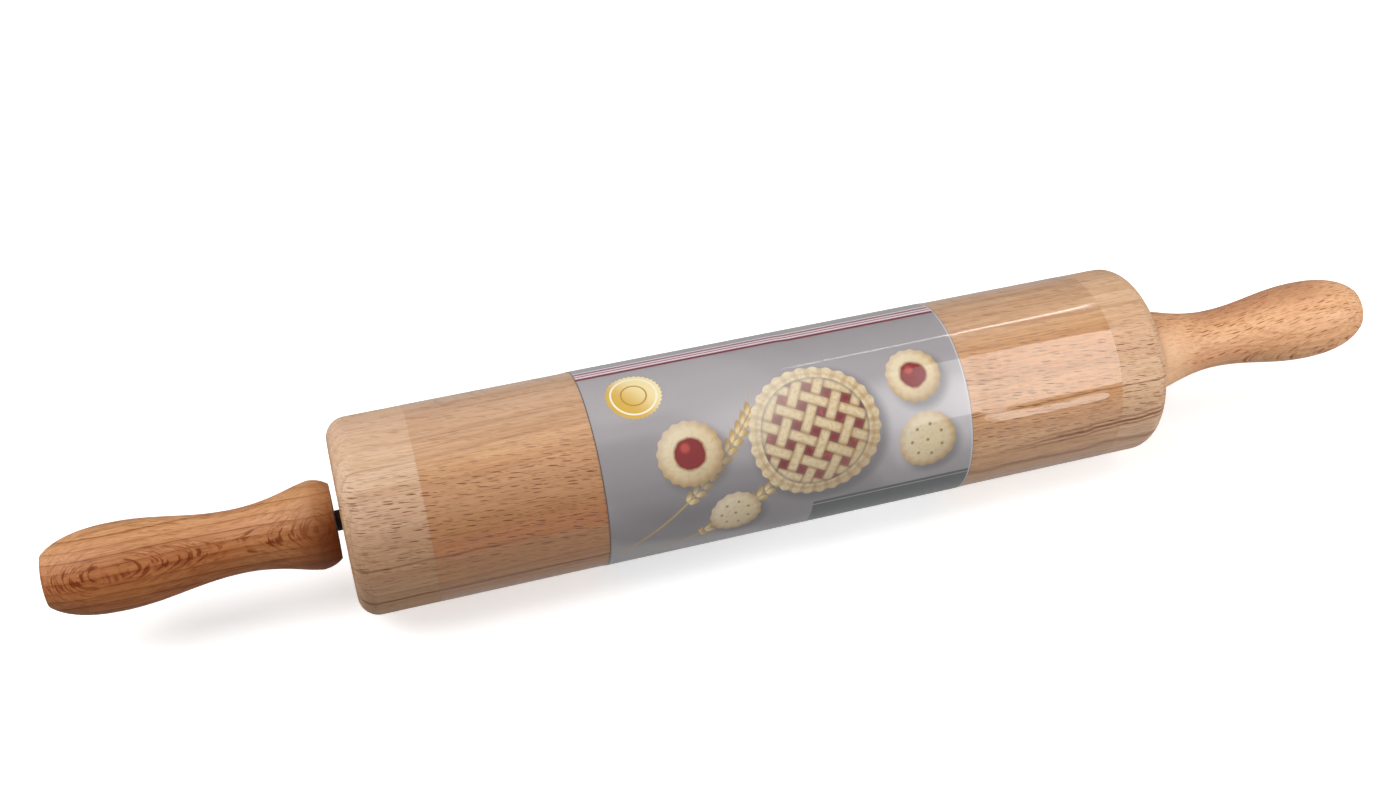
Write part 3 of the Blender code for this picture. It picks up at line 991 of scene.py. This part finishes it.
def satin(x, y):
    """Silver-grey ground: slanting bands, stronger in front, a fine weave, and painted
    shade low on the left.
    """
    swirl = noise(x / 46 + 2, y / 30, 0.0, 1.0, 0.4) - 0.5
    band = ((y * 0.9 - x * 0.30 + swirl * 40) / 8.5).maths("SINE")
    front = y.rise(6, 24)
    colour = mix(SILVER, SILVER_LIGHT, band.rise(0.2, 1.0) * (0.15 + front * 0.55))
    colour = mix(colour, SILVER_DARK, band.rise(-0.2, -1.0) * (0.25 + front * 0.35))
    # Painted shade on the lower front of the label, towards its left
    colour = mix(colour, LABEL_FOOT_PAINTED_SHADE, y.rise(30, 46) * x.rise(42, -22), "MULTIPLY")
    weave = noise(x / 0.5, y / 0.5, 0.0)
    return mix(colour, SILVER_DARK, (weave - 0.5).at_least(0) * 0.5)


def seal(colour, x, y):
    """Plain gold disc with a beaded rim and two thin rings."""
    away, dx, dy = disc(x, y, *SEAL)
    beam = (dy.maths("ARCTAN2", dx) * SEAL_BEAMS).maths("COSINE") * 0.22
    body = mix(GOLD, GOLD_LIGHT, (dx * 0.08 - dy * 0.06 + 0.5).rise(0.0, 1.0))
    body = mix(body, GOLD_PALE, ((away + 1.5).size() - 0.28).inside())
    body = mix(body, GOLD_BROWN, ((away + 4.6).size() - 0.22).inside())
    return mix(colour, body, (away + beam).inside())


def panels(colour, x, y):
    """Dark panel with a rule low in front, and a pale panel with ruled lines behind."""
    block = panel(x, y, *DARK_PANEL).inside()
    colour = mix(colour, PANEL_GREY, block)
    rule = ((y - DARK_PANEL_RULE).size() - 0.16).inside()
    colour = mix(colour, SILVER_LIGHT, rule * block * 0.8)
    colour = mix(colour, BACK_PALE, panel(x, y, *BACK_PANEL).inside())
    row = ((y - BACK_MIDDLE[1]) / BACK_LINE_GAP).maths("FRACT")
    lines = ((row - 0.5).size() - 0.06).inside(0.04)
    lines = lines * panel(x, y, *BACK_WRITING).inside()
    return mix(colour, BACK_LINES, lines * 0.6)


def double_stripe(colour, x, y):
    """Red lines with pale ones round them, and darker paper behind them."""
    band = y + STRIPES_AT - x.rise(5, 10) * STRIPE_KINK
    colour = mix(colour, SILVER_DARK, band.inside() * 0.55)
    for start, end, ink in zip(STRIPE_EDGES, STRIPE_EDGES[1:], STRIPE_INKS):
        line = (band - (start + end) / 2).size() - (end - start) / 2
        colour = mix(colour, ink, line.inside(0.08))
    return colour


def printed_paper():
    """Silver-grey label: soft satin bands, a double stripe and a plain baking design."""
    made, tree, shader = material("label_paper")
    station, angle = turn_of(object_point(tree))
    left, right = (place * MM for place in ends("label_sleeve"))
    x = station - (left + right) / 2
    y = angle * math.radians(1) * (rings("label_sleeve")[1].max() * MM)
    colour = satin(x, y)
    for ear in EARS:
        colour = wheat(colour, x, y, *ear)
    for one in BISCUITS:
        colour = biscuit(colour, x, y, *one)
    colour = tart(colour, x, y, *TART)
    colour = seal(colour, x, y)
    colour = double_stripe(colour, x, y)
    colour = panels(colour, x, y)

    # Painted shadow along both edges of the paper, and a pale line just inside its right
    # edge
    half = (right - left) / 2
    colour = mix(colour, PAPER_EDGE_PAINTED_SHADOW, (half + x).rise(0.42, 0.12) * 0.9)
    colour = mix(colour, SILVER_LIGHT, (half - x).rise(0.75, 0.45) * 0.8)
    colour = mix(colour, PAPER_EDGE_PAINTED_SHADOW, (half - x).rise(0.25, 0.05) * 0.8)
    crease = noise(x / 3, y / 3, 0.0, 3.0, 0.6)
    connect(
        shader,
        Base_Color=colour,
        Roughness=0.34 + crease * 0.14,
        Normal=bump(crease, 0.08, 0.0004),
    )
    return made


# Film, metal, nylon and floor


def clear_film():
    """Clear film: see-through, with a mirror sheen that grows towards its edges."""
    made, tree, shader = material("film_clear")
    shader.inputs["Base Color"].default_value = (1.0, 1.0, 1.0, 1.0)
    shader.inputs["Metallic"].default_value = 1.0
    x, angle = turn_of(object_point(tree))
    haze = noise(x / 18, angle / 14, 0.0, 3.0, 0.6)
    facing = x.node("ShaderNodeLayerWeight", None, {"Blend": 0.5}, output="Facing")
    sheen = 0.045 + facing**4 * 0.32
    clear = x.node("ShaderNodeBsdfTransparent")
    mirror = Field(tree, shader.outputs[0])
    blend = x.node("ShaderNodeMixShader", None, {0: sheen, 1: clear, 2: mirror})
    tree.links.new(blend.socket, tree.nodes["Material Output"].inputs["Surface"])
    connect(shader, Roughness=0.03 + haze * 0.07)
    return made


def steel(name, colour, roughness, turned_lines):
    """Steel with fine lathe lines round it and an uneven sheen."""
    made, tree, shader = material(name)
    point = object_point(tree)
    x, y, z = parts(point)
    lines = noise(x / turned_lines, from_axis(point) / turned_lines, 0.0, 3.0, 0.6)
    smudge = noise(x / 4, y / 4, z / 4, 3.0)
    shade = mix(colour, tuple(0.55 * c for c in colour), smudge.rise(0.35, 0.85))
    connect(
        shader,
        Base_Color=shade,
        Roughness=roughness + (lines - 0.5) * 0.2 + (smudge - 0.5) * 0.12,
        Normal=bump(lines, 0.15, 0.00003),
    )
    shader.inputs["Metallic"].default_value = 1.0
    return made


def black_nylon():
    """Nearly black nylon, its moulded skin slightly grained."""
    made, tree, shader = material("spacer_black")
    x, y, z = parts(object_point(tree))
    grain = noise(x / 0.35, y / 0.35, z / 0.35, 3.0)
    dust = noise(x / 1.8, y / 1.8, z / 1.8)
    connect(
        shader,
        Base_Color=mix((0.022, 0.007, 0.007), (0.050, 0.020, 0.017), dust),
        Roughness=0.38 + grain * 0.2,
        Normal=bump(grain, 0.2, 0.00005),
    )
    return made


def floor_white():
    """Pale studio floor, nearly even, that glows more the further away it is."""
    made, tree, shader = material("floor_pale")
    x, y, _ = parts(object_point(tree))
    patch = noise(x / 400, y / 400, 0.0)
    far = ((x * x + y * y) ** 0.5).rise(300, 1500)
    connect(
        shader,
        Base_Color=mix((0.90, 0.90, 0.895), (0.94, 0.94, 0.935), patch),
        Emission_Color=mix((FLOOR_GLOW,) * 3, (1.0, 1.0, 1.0), far),
    )
    shader.inputs["Roughness"].default_value = 0.8
    shader.inputs["Emission Strength"].default_value = 1.0
    return made


# Putting the pin together


def dress(piece, look, slot, body, *nodes):
    """Gives a piece its material and its place on a body, and hides the CAD nodes it
    stands for.
    """
    piece.data.materials.append(look)
    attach(piece, body)
    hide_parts(*nodes)


def build_pin():
    """Every piece of the pin, with its material, its body and its CAD nodes."""
    woods = wood_materials()
    bright = steel("bearing_steel", (0.62, 0.62, 0.63), 0.22, 0.12)
    drawn = steel("steel_rod", (0.45, 0.44, 0.43), 0.34, 0.2)
    pressed = steel("cage_steel", (0.52, 0.50, 0.46), 0.38, 0.25)
    nylon = black_nylon()

    dress(roller(), woods["roller"], "beech_roller", "roller", "roller")
    dress(paper_sleeve(), printed_paper(), "label_paper", "roller", "label_sleeve")
    dress(film(), clear_film(), "film_clear", "roller", "clear_film")
    rod = tube("rod", "axle_rod", ROD_CHAMFER)
    dress(rod, drawn, "steel_rod", "axle", "axle_rod")
    for side, slot in (("left", "beech_handle_near"), ("right", "beech_handle_far")):
        dress(handle(side), woods[side], slot, "axle", f"handle_{side}")
        spacer = tube(f"spacer_sleeve_{side}", f"spacer_{side}", SPACER_CHAMFER)
        dress(spacer, nylon, "spacer_black", "axle", f"spacer_{side}")
        for which, body in (("inner", "axle"), ("outer", "roller")):
            node = f"bearing_{which}_race_{side}"
            dress(race(side, which), bright, "bearing_steel", body, node)
        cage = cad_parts[f"ball_cage_{side}"]
        cage.data.materials.clear()
        cage.data.materials.append(pressed)
        balls = [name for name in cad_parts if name.startswith(f"ball_{side}_")]
        for name in balls:
            dress(bearing_ball(name), bright, "bearing_steel", f"cage_{side}", name)


def turned_to(name, data, place, back, side):
    """Camera or lamp at a place from the pin's middle, facing away from back.

    Its own X runs along the side, as far as that is square to back.
    """
    back = back.normalized()
    first = (side - back * side.dot(back)).normalized()
    turn = Matrix((first, back.cross(first), back)).transposed()
    made = bpy.data.objects.new(name, data)
    bpy.context.scene.collection.objects.link(made)
    made.matrix_world = Matrix.Translation(place + Vector((0, 0, AXIS))) @ turn.to_4x4()
    return made


def area_light(name, place, aim, size, radiance, along):
    """Soft rectangular light, unseen by the camera.

    Its power is pi times its area times its radiance.
    """
    lamp = bpy.data.lights.new(name, "AREA")
    lamp.shape = "RECTANGLE"
    lamp.size, lamp.size_y = size
    lamp.energy = math.pi * size[0] * size[1] * radiance
    place = Vector(place)
    made = turned_to(name, lamp, place, place - Vector(aim), Vector(along))
    made.visible_camera = False


def surroundings():
    """Grey surroundings, a little lighter below than above."""
    world = bpy.data.worlds.new("studio")
    world.use_nodes = True
    tree = world.node_tree
    background = tree.nodes["Background"]
    background.inputs["Color"].default_value = (1, 1, 1, 1)
    point = Field(tree, None).node("ShaderNodeTexCoord", output="Generated")
    height = parts(point)[2]
    strength = WORLD_BELOW + height.rise(*HORIZON) * (WORLD_ABOVE - WORLD_BELOW)
    strength = strength + height.rise(*FAR_BELOW) * (WORLD_UNDER - WORLD_BELOW)
    tree.links.new(strength.socket, background.inputs["Strength"])
    bpy.context.scene.world = world


def reflector():
    """Glowing panel in front of the pin, unseen, that fades out towards its left edge.

    Point (x, t) lies at REFLECTOR_AWAY from the axis, turned forwards by t from the top.
    """
    x = np.linspace(*REFLECTOR_ALONG, REFLECTOR_CUTS)[None, :]
    t = np.radians(np.linspace(*REFLECTOR_TURNS, REFLECTOR_CUTS))[:, None]
    screen = sheet("reflector", round_axis(x, REFLECTOR_AWAY, t))
    made, tree, shader = material("reflector_glow")
    station = parts(object_point(tree))[0] / MM
    low, high = REFLECTOR_ALONG
    fade = station.rise(low, low + REFLECTOR_FADE)
    fade = fade * station.rise(high, high - REFLECTOR_EDGE)
    connect(shader, Emission_Color=mix((0.0, 0.0, 0.0), (1.0, 1.0, 1.0), fade))
    shader.inputs["Emission Strength"].default_value = REFLECTOR_GLOW
    shader.inputs["Base Color"].default_value = (0.0, 0.0, 0.0, 1.0)
    shader.inputs["Specular IOR Level"].default_value = 0.0
    screen.data.materials.append(made)
    screen.visible_camera = False
    screen.visible_shadow = False


def cove(pale):
    """Pale wall round the floor, seen by the camera alone.

    A quarter-round of the second radius rises from the floor at the first radius, and
    ends in an upright wall up to the third measure.
    """
    inner, bend, top = COVE
    profile = arc(inner, bend, bend, -math.pi / 2, 0, COVE_STEPS)
    profile = np.vstack([profile, [(inner + bend, top)]])
    a = np.linspace(0, 2 * np.pi, COVE_TURNS + 1)[None, :]
    r, z = profile[:, :1], profile[:, 1:] + COVE_ABOVE_FLOOR
    wall = sheet("cove", np.stack([r * np.cos(a), r * np.sin(a), z + 0 * a], -1))
    wall.data.shade_smooth()
    wall.data.materials.append(pale)
    wall.visible_diffuse = False
    wall.visible_glossy = False
    wall.visible_transmission = False
    wall.visible_shadow = False


def studio():
    """Pale floor and cove, grey surroundings and soft lights."""
    pale = floor_white()
    x, y = np.meshgrid([-FLOOR_HALF, FLOOR_HALF], [FLOOR_HALF, -FLOOR_HALF])
    floor = sheet("floor", np.stack([x, y, 0 * x], -1))
    floor.data.materials.append(pale)
    floor.visible_diffuse = False
    floor.visible_glossy = False
    cove(pale)
    surroundings()
    area_light("left_box", *LEFT_BOX)
    area_light("right_box", *RIGHT_BOX)
    reflector()
    area_light("thin_tube", *THIN_TUBE)
    area_light("wide_tube", *WIDE_TUBE)
    bpy.context.scene.view_settings.view_transform = "Standard"


def camera():
    """Pinhole camera fitted to the photograph's outline of the pin."""
    lens = bpy.data.cameras.new("photo_view")
    lens.sensor_width = SENSOR
    lens.lens = FOCAL_PIXELS / PHOTO_WIDTH * SENSOR
    lens.clip_start = 0.01
    made = turned_to(lens.name, lens, CAMERA_FROM_AXIS, -CAMERA_FORWARD, CAMERA_RIGHT)
    bpy.context.scene.camera = made


build_pin()
studio()
camera()
